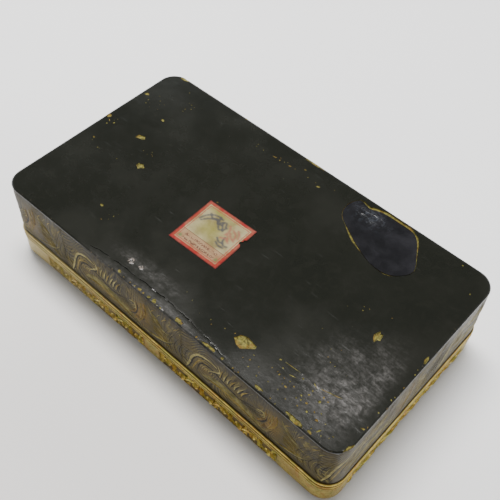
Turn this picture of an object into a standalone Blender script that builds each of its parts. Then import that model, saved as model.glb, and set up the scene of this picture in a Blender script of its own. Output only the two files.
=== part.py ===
"""A lidded box of lacquered papier-mache, standing upside down on its lid.

Frame: metres, +Z up. The origin is on the table, under the middle of the box. +X runs along
the long side and +Y across it. The lid's outer face is at z = 0 and the black base is on top.

Every board and hoop follows one plan, a rectangle with round corners: the outside of the
painted wall. A profile is a list of (offset, height) pairs, where offset is how far outside
that plan a point lies.
"""
import math

import bmesh
import bpy

MM = 0.001

# The plan: outside of the painted wall.
LENGTH = 180.0 * MM
WIDTH = 99.5 * MM
CORNER_RADIUS = 8.0 * MM
CORNER_STEPS = 8

# Heights above the table, from the lid's outer face up to the black base.
LID_PANEL_TOP = 3.2 * MM
LID_RIM_BOTTOM = 12.0 * MM
JOINT_HEIGHT = 14.0 * MM
BODY_RIM_TOP = 16.0 * MM
BASE_EDGE_BOTTOM = 41.8 * MM
HEIGHT = 43.3 * MM

# Thicknesses, and how far the gilt parts stand outside the painted wall.
GAP = 0.3 * MM
WALL = 3.5 * MM
LID_PROUD = 0.5 * MM
BEAD_PROUD = 0.8 * MM
LID_EDGE_ROUND = 3.0 * MM
BASE_EDGE_ROUND = 1.3 * MM
LID_PLUG = 1.5 * MM
BASE_PLUG = 2.0 * MM
LINER = 1.8 * MM
LINING_SHEET = 0.6 * MM
COLLAR_REACH = 5.0 * MM

# The pasted label.
LABEL_SIDE = 25.1 * MM
LABEL_THICKNESS = 0.2 * MM
LABEL_CENTRE = (-6.9 * MM, -9.4 * MM)
LABEL_TURN = math.radians(1.7)

# The flake of lacquer that was set back: corners of its outline, clockwise from the left end.
FLAKE_OUTLINE = (
    (24.3, 34.8), (22.7, 40.8), (25.2, 46.4), (30.5, 45.3), (36.0, 47.3), (44.0, 47.6),
    (51.0, 47.3), (55.0, 44.5), (59.5, 37.7), (62.6, 31.5), (60.3, 26.2), (55.0, 22.7),
    (47.7, 22.7), (39.5, 25.8), (31.0, 30.3),
)
FLAKE_THICKNESS = 0.5 * MM
FLAKE_SINK = 0.1 * MM
OUTLINE_STEPS = 3

# Plan offsets that follow from the sizes above.
INSIDE = -WALL
PLUG_SIDE = -WALL - GAP
LINER_INSIDE = PLUG_SIDE - LINER


# ---------------------------------------------------------------- outlines and profiles

def corner_centres():
    """The centres of the four corner arcs and the angle at which each arc starts."""
    x = LENGTH / 2 - CORNER_RADIUS
    y = WIDTH / 2 - CORNER_RADIUS
    return [(x, y, 0), (-x, y, 90), (-x, -y, 180), (x, -y, 270)]


def arc(centre, radius, start, end, steps):
    """Points along an arc, both ends included; the angles are in degrees."""
    points = []
    for step in range(steps + 1):
        angle = math.radians(start + (end - start) * step / steps)
        points.append((centre[0] + radius * math.cos(angle), centre[1] + radius * math.sin(angle)))
    return points


def plan(offset):
    """The plan, offset outward, counter-clockwise."""
    points = []
    for x, y, start in corner_centres():
        points += arc((x, y), CORNER_RADIUS + offset, start, start + 90, CORNER_STEPS)
    return points


def bead_profile(bottom, top):
    """A hoop's section with a half-round outer side, counter-clockwise."""
    radius = (top - bottom) / 2
    nose = arc((BEAD_PROUD - radius, bottom + radius), radius, -90, 90, 10)
    return [(INSIDE, bottom)] + nose + [(INSIDE, top)]


def hoop_profile(outside, bottom, top):
    """A hoop's rectangular section, counter-clockwise."""
    return [(INSIDE, bottom), (outside, bottom), (outside, top), (INSIDE, top)]


def smooth_loop(corners, grow):
    """A closed Catmull-Rom curve through the corners (in millimetres), grown outward."""
    count = len(corners)
    points = []
    for index in range(count):
        before, start, end, after = (corners[(index + shift) % count] for shift in (-1, 0, 1, 2))
        for step in range(OUTLINE_STEPS):
            t = step / OUTLINE_STEPS
            points.append(tuple(
                0.5 * MM * (2 * b + (c - a) * t + (2 * a - 5 * b + 4 * c - d) * t ** 2
                            + (3 * b - a - 3 * c + d) * t ** 3)
                for a, b, c, d in zip(before, start, end, after)))
    return grown(points, grow)


def grown(points, distance):
    """A clockwise outline moved outward, along the normal at each point."""
    result = []
    for index, (x, y) in enumerate(points):
        before = points[index - 1]
        after = points[(index + 1) % len(points)]
        along = (after[0] - before[0], after[1] - before[1])
        size = math.hypot(*along)
        result.append((x - along[1] / size * distance, y + along[0] / size * distance))
    return result


# ---------------------------------------------------------------- mesh and object helpers

def clear_scene():
    for item in list(bpy.data.objects):
        bpy.data.objects.remove(item, do_unlink=True)


def material(name, colour, roughness, metallic=0.0):
    result = bpy.data.materials.new(name)
    result.use_nodes = True
    shader = result.node_tree.nodes["Principled BSDF"]
    shader.inputs["Base Color"].default_value = (*colour, 1.0)
    shader.inputs["Roughness"].default_value = roughness
    shader.inputs["Metallic"].default_value = metallic
    return result


def body_empty(name, height):
    """The parent of one body's pieces, on the axis along which the box lifts."""
    empty = bpy.data.objects.new(name, None)
    empty.location = (0.0, 0.0, height)
    bpy.context.scene.collection.objects.link(empty)
    return empty


def add_object(name, mesh_data, finish, body, location):
    """Link a piece at a place in the row's frame, as a child of its body's empty."""
    item = bpy.data.objects.new(name, mesh_data)
    item.data.materials.append(finish)
    bpy.context.scene.collection.objects.link(item)
    item.parent = body
    item.location = (location[0], location[1], location[2] - body.location[2])
    item.data.shade_smooth()
    item.data.set_sharp_from_angle(angle=math.radians(35))
    return item


def mesh_from(name, build):
    """A mesh with outward faces, from a function that fills a bmesh."""
    shape = bmesh.new()
    build(shape)
    bmesh.ops.recalc_face_normals(shape, faces=shape.faces)
    mesh_data = bpy.data.meshes.new(name)
    shape.to_mesh(mesh_data)
    shape.free()
    return mesh_data


def add_ring(shape, points, height):
    return [shape.verts.new((x, y, height)) for x, y in points]


def join_rings(shape, lower, upper):
    count = len(lower)
    for index in range(count):
        following = (index + 1) % count
        shape.faces.new((lower[index], lower[following], upper[following], upper[index]))


def board(name, profile):
    """A closed board: its profile runs over the edge, from one flat face to the other."""
    def build(shape):
        rings = [add_ring(shape, plan(offset), height) for offset, height in profile]
        for lower, upper in zip(rings, rings[1:]):
            join_rings(shape, lower, upper)
        shape.faces.new(rings[0])
        shape.faces.new(rings[-1])
    return mesh_from(name, build)


def hoop(name, profile):
    """A closed section carried once round the plan."""
    def build(shape):
        rings = [add_ring(shape, plan(offset), height) for offset, height in profile]
        for lower, upper in zip(rings, rings[1:] + rings[:1]):
            join_rings(shape, lower, upper)
    return mesh_from(name, build)


def plate(name, outline, thickness):
    """An outline in the XY plane, thickened upward."""
    def build(shape):
        lower = add_ring(shape, outline, 0.0)
        upper = add_ring(shape, outline, thickness)
        join_rings(shape, lower, upper)
        shape.faces.new(lower)
        shape.faces.new(upper)
    return mesh_from(name, build)


# ---------------------------------------------------------------- the lid

def make_lid(body, gilt, lining):
    """The lid: its panel on the table, the skirt round it, the rim bead and the lining."""
    edge = arc((LID_PROUD - LID_EDGE_ROUND, LID_EDGE_ROUND), LID_EDGE_ROUND, -90, 0, 8)
    panel_profile = edge + [
        (LID_PROUD, LID_PANEL_TOP),
        (PLUG_SIDE, LID_PANEL_TOP),
        (PLUG_SIDE, LID_PANEL_TOP + LID_PLUG),
    ]
    add_object("lid_panel", board("lid_panel", panel_profile), gilt, body, (0, 0, 0))

    skirt_bottom = LID_PANEL_TOP + GAP
    skirt_height = LID_RIM_BOTTOM - GAP - skirt_bottom
    skirt = hoop("lid_skirt", hoop_profile(LID_PROUD, 0.0, skirt_height))
    add_object("lid_skirt", skirt, gilt, body, (0, 0, skirt_bottom))

    rim_height = JOINT_HEIGHT - GAP / 2 - LID_RIM_BOTTOM
    rim = hoop("lid_rim", bead_profile(0.0, rim_height))
    add_object("lid_rim", rim, gilt, body, (0, 0, LID_RIM_BOTTOM))

    sheet = plate("lid_lining", plan(PLUG_SIDE), LINING_SHEET)
    add_object("lid_lining", sheet, lining, body, (0, 0, LID_PANEL_TOP + LID_PLUG + GAP))


# ---------------------------------------------------------------- the box

def make_walls(body, painted, gilt):
    """The painted wall of the box and the gilt bead round its mouth."""
    wall_bottom = BODY_RIM_TOP + GAP
    wall_height = BASE_EDGE_BOTTOM - GAP - wall_bottom
    wall = hoop("body_wall", hoop_profile(0.0, 0.0, wall_height))
    add_object("body_wall", wall, painted, body, (0, 0, wall_bottom))

    rim_bottom = JOINT_HEIGHT + GAP / 2
    rim = hoop("body_rim", bead_profile(0.0, BODY_RIM_TOP - rim_bottom))
    add_object("body_rim", rim, gilt, body, (0, 0, rim_bottom))


def make_base(body, black):
    """The base board, let into the wall, with the shallow recess that the flake lies in."""
    height = HEIGHT - BASE_EDGE_BOTTOM
    edge = arc((-BASE_EDGE_ROUND, height - BASE_EDGE_ROUND), BASE_EDGE_ROUND, 90, 0, 6)
    profile = edge + [(0.0, 0.0), (PLUG_SIDE, 0.0), (PLUG_SIDE, -BASE_PLUG)]
    base = add_object("base_board", board("base_board", profile), black, body,
                      (0, 0, BASE_EDGE_BOTTOM))

    depth = FLAKE_SINK + FLAKE_THICKNESS + GAP
    cutter_mesh = plate("flake_recess", smooth_loop(FLAKE_OUTLINE, GAP), 2 * depth)
    cutter = add_object("flake_recess", cutter_mesh, black, body, (0, 0, HEIGHT - depth))
    cutter.hide_render = True
    cutter.display_type = "WIRE"
    cut = base.modifiers.new("recess", "BOOLEAN")
    cut.operation = "DIFFERENCE"
    cut.solver = "EXACT"
    cut.object = cutter

    flake = plate("lacquer_flake", smooth_loop(FLAKE_OUTLINE, 0.0), FLAKE_THICKNESS)
    add_object("lacquer_flake", flake, black, body,
               (0, 0, HEIGHT - FLAKE_SINK - FLAKE_THICKNESS))


def make_label(body, paper):
    """The square paper label on the base, turned a little off square."""
    half = LABEL_SIDE / 2
    square = [(-half, -half), (half, -half), (half, half), (-half, half)]
    label = add_object("paper_label", plate("paper_label", square, LABEL_THICKNESS), paper, body,
                       (*LABEL_CENTRE, HEIGHT + GAP))
    label.rotation_euler = (0.0, 0.0, LABEL_TURN)


def liner_outline(corner):
    """One liner, from the middle of one corner arc to the middle of the next."""
    sides = []
    for offset in (PLUG_SIDE, LINER_INSIDE):
        radius = CORNER_RADIUS + offset
        mitre = math.degrees(math.asin(GAP / 2 / radius))
        path = []
        for index, (first, last) in ((corner, (45 + mitre, 90)), (corner + 1, (0, 45 - mitre))):
            x, y, start = corner_centres()[index % 4]
            path += arc((x, y), radius, start + first, start + last, CORNER_STEPS // 2)
        sides.append(path)
    return sides[0] + sides[1][::-1]


def make_liners(body, lining, wood):
    """The strips that line the wall and reach into the lid, and the sheet on the floor."""
    liner_bottom = JOINT_HEIGHT - COLLAR_REACH
    liner_top = BASE_EDGE_BOTTOM - BASE_PLUG - GAP
    for corner, side in enumerate(("back", "left", "front", "right")):
        name = "liner_" + side
        strip = plate(name, liner_outline(corner), liner_top - liner_bottom)
        add_object(name, strip, wood, body, (0, 0, liner_bottom))

    sheet = plate("floor_lining", plan(LINER_INSIDE - GAP), LINING_SHEET)
    add_object("floor_lining", sheet, lining, body, (0, 0, liner_top - LINING_SHEET))


def main():
    clear_scene()
    gilt = material("gilding", (0.50, 0.33, 0.10), 0.38, 0.6)
    painted = material("painted_lacquer", (0.12, 0.11, 0.09), 0.35)
    black = material("black_lacquer", (0.02, 0.02, 0.017), 0.22)
    paper = material("label_paper", (0.62, 0.50, 0.33), 0.75)
    lining = material("lining_paper", (0.22, 0.05, 0.04), 0.7)
    wood = material("liner_lacquer", (0.16, 0.04, 0.03), 0.4)

    lid = body_empty("lid", 0.0)
    box = body_empty("box", JOINT_HEIGHT)
    make_lid(lid, gilt, lining)
    make_walls(box, painted, gilt)
    make_base(box, black)
    make_label(box, paper)
    make_liners(box, lining, wood)


main()
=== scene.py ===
"""The looks of a lacquered and gilt lidded box that stands upside down on its lid.

Everything is worked out in millimetres in the row's frame and turned into metres when a mesh is
made. The plan is the outside of the painted wall: a rectangle with round corners. A place on a
wall is given as (s, z): s runs along the plan, counter-clockwise seen from above, and is 0 at
the middle of the front (-Y) wall; an offset is how far outside the plan a point lies.
"""
import math
import random
from contextlib import contextmanager

import bmesh
import bpy
import numpy as np
from mathutils import Matrix, Vector, geometry, noise


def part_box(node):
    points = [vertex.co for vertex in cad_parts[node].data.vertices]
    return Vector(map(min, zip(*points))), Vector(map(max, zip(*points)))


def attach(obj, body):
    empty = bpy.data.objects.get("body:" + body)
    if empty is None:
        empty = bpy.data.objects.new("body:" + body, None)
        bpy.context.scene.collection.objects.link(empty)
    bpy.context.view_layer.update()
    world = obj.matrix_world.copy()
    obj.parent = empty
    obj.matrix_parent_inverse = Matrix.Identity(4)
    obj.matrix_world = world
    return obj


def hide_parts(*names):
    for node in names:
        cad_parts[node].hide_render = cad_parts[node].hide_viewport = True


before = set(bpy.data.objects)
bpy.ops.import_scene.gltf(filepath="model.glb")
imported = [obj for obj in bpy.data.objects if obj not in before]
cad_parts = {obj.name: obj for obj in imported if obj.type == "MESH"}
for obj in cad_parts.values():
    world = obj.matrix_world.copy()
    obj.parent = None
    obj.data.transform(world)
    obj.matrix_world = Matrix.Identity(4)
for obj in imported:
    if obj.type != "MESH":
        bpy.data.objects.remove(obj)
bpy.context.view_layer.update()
MM = 0.001


def node_box(node):
    """A CAD node's lowest and highest corner, in millimetres."""
    return [np.array(corner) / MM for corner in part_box(node)]


# Sizes read from the frame. The beads meet the wall at WALL_FOOT and the lid at SKIRT_TOP.
WALL_LOW, WALL_HIGH = node_box("body_wall")
BASE_LOW, BASE_HIGH = node_box("base_board")
LABEL_LOW, LABEL_HIGH = node_box("paper_label")
LID_HIGH = node_box("lid_panel")[1]
SKIRT_TOP = node_box("lid_rim")[0][2]
WALL_FOOT = node_box("body_rim")[1][2]
LENGTH, WIDTH = (WALL_HIGH - WALL_LOW)[:2]
TOP = BASE_HIGH[2]

# The plan's round corners, and the front wall's slight hollow along its length.
CORNER = 8.0
CORE_X, CORE_Y = LENGTH / 2 - CORNER, WIDTH / 2 - CORNER
QUARTER = math.pi * CORNER / 2
PERIMETER = 4 * (CORE_X + CORE_Y + QUARTER)
FRONT_HOLLOW = 0.6

# The black base: radius of its edge, how steeply the face breaks into it, how far the lacquer
# runs down the wall and stands off it, where the plug's side and top lie, and from what angle
# on its edges show sharp.
EDGE_ROUND = 0.5
EDGE_BREAK = math.radians(30)
LACQUER_SKIRT = 0.5
FILM = 0.08
PLUG_SIDE = -3.8
PLUG_TOP = TOP - 1.7
BASE_SHARP = math.radians(24)

# The hidden inner side of the hoops, and how much their outer side wavers.
INNER_SIDE = -3.4
WAVER = 0.05

# Material slots of the base, and of the painted foliage.
LACQUER, OCHRE = range(2)
GOLD, CREAM, ORANGE, DARK, OLIVE = range(5)


# ---------------------------------------------------------------- the plan

def on_plan(s, offset=0.0):
    """Points at distance s along the plan, moved outward, and their outward normals."""
    t = (np.asarray(s, float) + CORE_X) % PERIMETER
    centres = (CORE_X - 1j * CORE_Y, CORE_X + 1j * CORE_Y, -CORE_X + 1j * CORE_Y,
               -CORE_X - 1j * CORE_Y)
    point = np.zeros(t.shape, complex)
    normal = np.ones(t.shape, complex)
    start = 0.0
    for side in range(4):
        outward = -1j * 1j ** side
        run = 2 * (CORE_Y if side % 2 else CORE_X)
        straight = (t >= start) & (t < start + run)
        normal[straight] = outward
        point[straight] = (centres[side - 1] + CORNER * outward
                           + (t[straight] - start) * 1j ** side)
        start += run
        turn = (t - start) / CORNER
        bend = (turn >= 0) & (turn <= math.pi / 2 + 1e-9)
        normal[bend] = outward * np.exp(1j * turn[bend])
        point[bend] = centres[side] + CORNER * normal[bend]
        start += QUARTER
    point = point + offset * normal
    return point.real, point.imag, normal.real, normal.imag


def outside_plan(x, y):
    """How far points lie outside the plan (negative inside), and the nearest core points."""
    core_x = np.clip(x, -CORE_X, CORE_X)
    core_y = np.clip(y, -CORE_Y, CORE_Y)
    beyond = np.hypot(x - core_x, y - core_y)
    inside = np.maximum(np.abs(x) - CORE_X, np.abs(y) - CORE_Y)
    return np.where(beyond > 0, beyond, inside) - CORNER, core_x, core_y


def settle(points):
    """The front wall's hollow, carried into everything near it."""
    moved = np.array(points, float)
    along = 1 - (moved[:, 0] / (LENGTH / 2)) ** 2
    across = np.clip(-moved[:, 1] / (WIDTH / 2), 0, 1) ** 2
    moved[:, 1] += FRONT_HOLLOW * np.clip(along, 0, 1) * across
    return moved


def on_wall(s, z, height):
    """A point on a wall, height millimetres outside it."""
    x, y, _, _ = on_plan(s, height)
    return np.stack([x, y, np.broadcast_to(z, x.shape)], -1)


def around(step):
    """Places about step apart round the plan."""
    count = round(PERIMETER / step)
    return np.arange(count) * PERIMETER / count


def lumps(x, y, size, seed):
    """Smooth noise from -1 to 1, with features about size millimetres across."""
    return np.array([noise.noise(Vector((a / size, b / size, seed))) for a, b in zip(x, y)])


def wavering(s, z, seed):
    """The small wandering in and out of a hoop's outer side at height z."""
    return WAVER * np.array([noise.noise(Vector((v / 6, z / 3, seed))) for v in s])


def hill(x, y, middle_x, middle_y, wide, deep, power=1):
    """A smooth hill of height 1; a power over 1 gives it a flatter top."""
    return np.exp(-(((x - middle_x) / wide) ** 2 + ((y - middle_y) / deep) ** 2) ** power)


# ---------------------------------------------------------------- meshes

@contextmanager
def edited(mesh):
    """A mesh opened for editing and written back."""
    shape = bmesh.new()
    shape.from_mesh(mesh)
    yield shape
    shape.to_mesh(mesh)
    shape.free()


def add_fields(mesh, fields):
    """Stores values on the mesh's points, for its finish to read."""
    for label, values in fields.items():
        layer = mesh.attributes.new(label, "FLOAT", "POINT")
        layer.data.foreach_set("value", np.asarray(values, np.float32))


def add_piece(name, mesh, materials, body):
    """Puts a mesh in the scene as a piece that rides on a body."""
    piece = bpy.data.objects.new(name, mesh)
    bpy.context.scene.collection.objects.link(piece)
    for finish in materials:
        mesh.materials.append(finish)
    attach(piece, body)
    return piece


class Shape:
    """Collects vertices and faces, in millimetres, and makes one object of them."""

    def __init__(self):
        self.points, self.faces, self.slots = [], [], []

    def add(self, points, faces, slot=0):
        """Adds faces, numbered within their own points."""
        first = sum(len(block) for block in self.points)
        self.points.append(np.asarray(points, float).reshape(-1, 3))
        self.faces += [[first + index for index in face] for face in faces]
        self.slots += [slot] * len(faces)

    def make(self, name, materials, body, fields=None, sharp=40):
        """The piece, smooth but for edges sharper than so many degrees."""
        mesh = bpy.data.meshes.new(name)
        places = settle(np.concatenate(self.points))
        mesh.from_pydata((places * MM).tolist(), [], self.faces)
        mesh.polygons.foreach_set("material_index", self.slots)
        add_fields(mesh, fields or {})
        with edited(mesh) as shape:
            bmesh.ops.recalc_face_normals(shape, faces=shape.faces)
        mesh.shade_smooth()
        mesh.set_sharp_from_angle(angle=math.radians(sharp))
        return add_piece(name, mesh, materials, body)


def neighbours(count, first=0):
    """The pairs of neighbours round a closed loop of points, numbered from first."""
    return [(first + index, first + (index + 1) % count) for index in range(count)]


def ring_faces(rings, count, closed):
    """Quads between rings of count vertices; closed joins the last ring to the first."""
    faces = []
    for ring in range(rings if closed else rings - 1):
        here, there = ring * count, (ring + 1) % rings * count
        faces += [(here + a, here + b, there + b, there + a) for a, b in neighbours(count)]
    return faces


def triangulated(outlines, loose, mode):
    """Triangles over closed outlines and loose points, in the same order in every run."""
    edges, first = [], 0
    for outline in outlines:
        edges += neighbours(len(outline), first)
        first += len(outline)
    points = [Vector(point) for point in np.concatenate([*outlines, loose])]
    flat, _, faces, *_ = geometry.delaunay_2d_cdt(points, edges, [], mode, 1e-4)
    turned = []
    for face in faces:
        lowest = face.index(min(face))
        turned.append([*face[lowest:], *face[:lowest]])
    return np.array(flat), sorted(turned)


def smooth_path(corners, steps):
    """A Catmull-Rom curve through the corners, ends included."""
    corners = np.asarray(corners, float)
    padded = np.vstack([2 * corners[0] - corners[1], corners, 2 * corners[-1] - corners[-2]])
    points = []
    for index in range(len(corners) - 1):
        a, b, c, d = padded[index:index + 4]
        for t in np.arange(steps) / steps:
            points.append(0.5 * (2 * b + (c - a) * t + (2 * a - 5 * b + 4 * c - d) * t ** 2
                                 + (3 * b - a - 3 * c + d) * t ** 3))
    points.append(corners[-1])
    return np.array(points)


LEAF, STEM, DROP = "leaf", "stem", "drop"


def taper(t, kind):
    """The share of its full width that a stroke has at t, from 0 at its start to 1."""
    if kind == LEAF:
        return np.sin(math.pi * t ** 0.8) ** 0.75
    if kind == DROP:
        return np.sin(math.pi * t ** 0.45) ** 0.9
    return np.clip(np.minimum(t, 1 - t) * 8, 0.25, 1) ** 0.5


def stroke(shape, surface, corners, width, rise, slot, kind=LEAF, steps=5, across=3, sink=0.08):
    """A closed raised stroke along a path in surface coordinates."""
    path = smooth_path(corners, steps)
    along = np.gradient(path, axis=0)
    along /= np.maximum(np.hypot(along[:, 0], along[:, 1]), 1e-6)[:, None]
    side = np.stack([-along[:, 1], along[:, 0]], 1)
    share = np.maximum(taper(np.linspace(0, 1, len(path)), kind), 0.06)
    rows = []
    for u in np.linspace(-1, 1, across):
        spot = path + side * (u * width / 2 * share)[:, None]
        lift = rise * share ** 0.5 * (1 - u * u) - sink * abs(u) ** 6
        rows.append(surface(spot[:, 0], spot[:, 1], lift))
    rows.append(surface(path[:, 0], path[:, 1], np.full(len(path), -sink * 1.5)))
    turns = len(rows)
    start, end = list(range(turns)), [(len(path) - 1) * turns + u for u in range(turns)]
    faces = ring_faces(len(path), turns, False) + [start, end]
    shape.add(np.stack(rows, 1).reshape(-1, 3), faces, slot)


# ---------------------------------------------------------------- material nodes

class Nodes:
    """Short names for the nodes of one tree; place is where its textures are looked up."""

    def __init__(self, tree, coordinates):
        self.tree = tree
        self.place = self.new("ShaderNodeTexCoord").outputs[coordinates]

    def new(self, kind, **settings):
        item = self.tree.nodes.new(kind)
        for key, value in settings.items():
            setattr(item, key, value)
        return item

    def link(self, value, socket):
        """Joins a socket to another, or sets it to a number or a colour."""
        if isinstance(value, bpy.types.NodeSocket):
            self.tree.links.new(value, socket)
        elif isinstance(value, tuple) and len(value) == 3 and len(socket.default_value) == 4:
            socket.default_value = (*value, 1.0)
        else:
            socket.default_value = value

    def span(self, value, low, high, to_low=0.0, to_high=1.0):
        """value from low..high mapped smoothly to to_low..to_high and held there."""
        item = self.new("ShaderNodeMapRange", interpolation_type="SMOOTHSTEP")
        self.link(value, item.inputs["Value"])
        for socket, number in zip(("From Min", "From Max", "To Min", "To Max"),
                                  (low, high, to_low, to_high)):
            item.inputs[socket].default_value = number
        return item.outputs["Result"]

    def mix(self, share, first, second):
        """Two colours blended."""
        item = self.new("ShaderNodeMix", data_type="RGBA")
        self.link(share, item.inputs["Factor"])
        self.link(first, item.inputs[6])
        self.link(second, item.inputs[7])
        return item.outputs[2]

    def toward(self, axis, start, end):
        """How far the place points along an axis, from 0 at start to 1 at end."""
        item = self.new("ShaderNodeVectorMath", operation="DOT_PRODUCT")
        self.link(self.place, item.inputs[0])
        self.link(axis, item.inputs[1])
        return self.span(item.outputs["Value"], start, end)


class Finish(Nodes):
    """A Principled material; its sizes are in millimetres."""

    def __init__(self, name, **plain):
        self.material = bpy.data.materials.new(name)
        self.material.use_nodes = True
        super().__init__(self.material.node_tree, "Object")
        self.shader = self.tree.nodes["Principled BSDF"]
        for socket, value in plain.items():
            self.shader.inputs[socket.replace("_", " ")].default_value = value

    def noise(self, size, detail=3.0, rough=0.55, distortion=0.0, stretch=None):
        """Noise with features about size across; stretch scales the axes."""
        item = self.new("ShaderNodeTexNoise")
        place = self.place
        if stretch:
            scaled = self.new("ShaderNodeMapping")
            self.link(stretch, scaled.inputs["Scale"])
            self.link(place, scaled.inputs["Vector"])
            place = scaled.outputs["Vector"]
        for socket, value in (("Scale", 1 / (size * MM)), ("Detail", detail), ("Roughness", rough),
                              ("Distortion", distortion), ("Vector", place)):
            self.link(value, item.inputs[socket])
        return item.outputs["Fac"]

    def patches(self, size, low, high, to_low=0.0, to_high=1.0, **kind):
        """Noise from low..high mapped to to_low..to_high, which leaves patches."""
        return self.span(self.noise(size, **kind), low, high, to_low, to_high)

    def cells(self, size):
        """The distance to the nearest of scattered points."""
        item = self.new("ShaderNodeTexVoronoi")
        item.inputs["Scale"].default_value = 1 / (size * MM)
        self.link(self.place, item.inputs["Vector"])
        return item.outputs["Distance"]

    def maths(self, operation, first, second=0.0):
        """One sum on two values."""
        item = self.new("ShaderNodeMath", operation=operation)
        self.link(first, item.inputs[0])
        self.link(second, item.inputs[1])
        return item.outputs[0]

    def times(self, first, second):
        return self.maths("MULTIPLY", first, second)

    def tint(self, colour, tone, share, strength=None):
        """The colour turned toward a tone where share is high."""
        return self.mix(self.times(share, strength) if strength else share, colour, tone)

    def blend_values(self, share, first, second):
        """A number that goes from first to second."""
        item = self.new("ShaderNodeMix", data_type="FLOAT")
        self.link(share, item.inputs["Factor"])
        self.link(first, item.inputs[2])
        self.link(second, item.inputs[3])
        return item.outputs[0]

    def along(self, axis):
        """The place along an object axis, in metres."""
        item = self.new("ShaderNodeSeparateXYZ")
        self.link(self.place, item.inputs[0])
        return item.outputs[axis]

    def painted_sheen_ends(self, colour):
        """The colour with a painted grey sheen, a reflection of the bright floor, over the right
        end and the front wall's left end.
        """
        right = self.span(self.along("X"), 0.0870, 0.0893, 0.0, 0.42)
        left = self.span(self.along("X"), -0.0880, -0.0480, 0.22, 0.0)
        cloud = self.patches(5, 0.30, 0.70, 0.55, 1.0, detail=4)
        share = self.times(self.maths("ADD", right, left), cloud)
        return self.tint(colour, (0.200, 0.190, 0.172), share)

    def field(self, name):
        """A value stored on the mesh's points."""
        return self.new("ShaderNodeAttribute", attribute_name=name).outputs["Fac"]

    def bump(self, height, depth, strength=1.0, after=None):
        """A bump whose height of 1 stands for depth."""
        item = self.new("ShaderNodeBump")
        item.inputs["Distance"].default_value = depth * MM
        self.link(strength, item.inputs["Strength"])
        self.link(height, item.inputs["Height"])
        if after:
            self.link(after, item.inputs["Normal"])
        return item.outputs["Normal"]

    def set(self, colour, rough, normal=None):
        """Joins the looks to the shader and gives the material."""
        self.link(colour, self.shader.inputs["Base Color"])
        self.link(rough, self.shader.inputs["Roughness"])
        if normal:
            self.link(normal, self.shader.inputs["Normal"])
        return self.material


def black_lacquer():
    """Old black lacquer: lumpy and shiny in places, rubbed at its edge, with a painted grey sheen
    in places and painted shade darkening its back and left edge.
    """
    m = Finish("black_lacquer", Specular_IOR_Level=0.22)
    cloud = m.patches(26, 0.35, 0.7)
    smudge = m.patches(3.5, 0.45, 0.75, detail=5, distortion=0.8)
    colour = m.mix(cloud, (0.0072, 0.0078, 0.0058), (0.0098, 0.0102, 0.0078))
    colour = m.tint(colour, (0.0150, 0.0148, 0.0120), smudge, 0.25)
    rubbed = m.times(m.field("rub"), m.patches(1.6, 0.60, 0.68, detail=5))
    colour = m.tint(colour, (0.050, 0.034, 0.012), rubbed)
    # Painted sheen: a mottled pale grey laid into the colour in streaks where the lacquer should
    # shine.
    mottle = m.patches(1.5, 0.38, 0.62, 0.30, 1.0, detail=5, rough=0.7, distortion=0.6)
    cleared = m.patches(7.5, 0.38, 0.58, 0.35, 1.0, distortion=1.0)
    streaks = m.patches(1.0, 0.42, 0.60, 0.55, 1.0, stretch=(0.12, 1.0, 1.0))
    painted_sheen_share = m.times(m.field("painted_sheen"), m.times(mottle, cleared))
    colour = m.tint(colour, (0.112, 0.106, 0.102), painted_sheen_share, streaks)
    # Painted shade: the back and left edge darkened toward black.
    colour = m.tint(colour, (0.0038, 0.0038, 0.0034), m.field("dull_shaded_edge"), 0.85)
    crust = m.times(m.field("crust"), m.patches(0.7, 0.42, 0.60, detail=4))
    colour = m.tint(colour, (0.19, 0.150, 0.120), crust)
    specks = m.times(m.span(m.cells(5.5), 0.0, 0.055, 1.0, 0.0), m.patches(9, 0.56, 0.62))
    colour = m.tint(colour, (0.12, 0.11, 0.08), specks, 0.55)
    scratch = m.patches(0.9, 0.66, 0.74, detail=2, stretch=(0.08, 1.0, 1.0))
    shine = m.field("shine")
    rough = m.blend_values(shine, m.blend_values(cloud, 0.12, 0.17), 0.18)
    rough = m.blend_values(m.field("dull_shaded_edge"), rough, 0.50)
    rough = m.maths("ADD", rough, m.times(scratch, 0.12))
    rough = m.blend_values(m.maths("MAXIMUM", rubbed, crust), rough, 0.75)
    peel = m.bump(m.noise(0.9), 0.012)
    lumpy = m.bump(m.noise(2.6, rough=0.6), 0.08, m.span(shine, 0, 1, 0.12, 1.0), peel)
    rippled = m.bump(m.noise(8.5, detail=2), 0.36, m.span(shine, 0, 1, 0.15, 1.0), lumpy)
    return m.set(colour, rough, rippled)


def ochre_ground():
    """The yellow clay ground that shows in the chips."""
    m = Finish("ochre_ground", Specular_IOR_Level=0.12)
    colour = m.mix(m.patches(1.3, 0.38, 0.62, detail=5, rough=0.65),
                   (0.042, 0.036, 0.0050), (0.150, 0.132, 0.030))
    colour = m.tint(colour, (0.120, 0.062, 0.008), m.patches(3.0, 0.50, 0.64), 0.62)
    return m.set(colour, m.patches(0.8, 0.3, 0.7, 0.55, 0.85), m.bump(m.noise(0.35), 0.05))


def flake_lacquer():
    """The flake that was set back: smoother, blue-black, wrinkled at one end, with painted pale
    highlights on the wrinkles.
    """
    m = Finish("flake_lacquer", Specular_IOR_Level=0.30)
    cloud = m.patches(9, 0.35, 0.7, detail=4)
    wrinkle = m.field("wrinkle")
    colour = m.mix(cloud, (0.0046, 0.0046, 0.0054), (0.0090, 0.0088, 0.0108))
    # Painted highlight: pale blue-grey patches over the wrinkled end.
    painted_wrinkle_highlight = m.times(wrinkle, m.patches(1.7, 0.48, 0.66, detail=5))
    colour = m.tint(colour, (0.030, 0.035, 0.043), painted_wrinkle_highlight, 0.6)
    folds = m.noise(2.4, distortion=1.2, stretch=(0.6, 1.3, 1.0))
    fine = m.bump(m.noise(0.8), 0.010)
    return m.set(colour, m.blend_values(cloud, 0.16, 0.22),
                 m.bump(folds, 0.22, m.span(wrinkle, 0, 1, 0.08, 1.0), fine))


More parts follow.
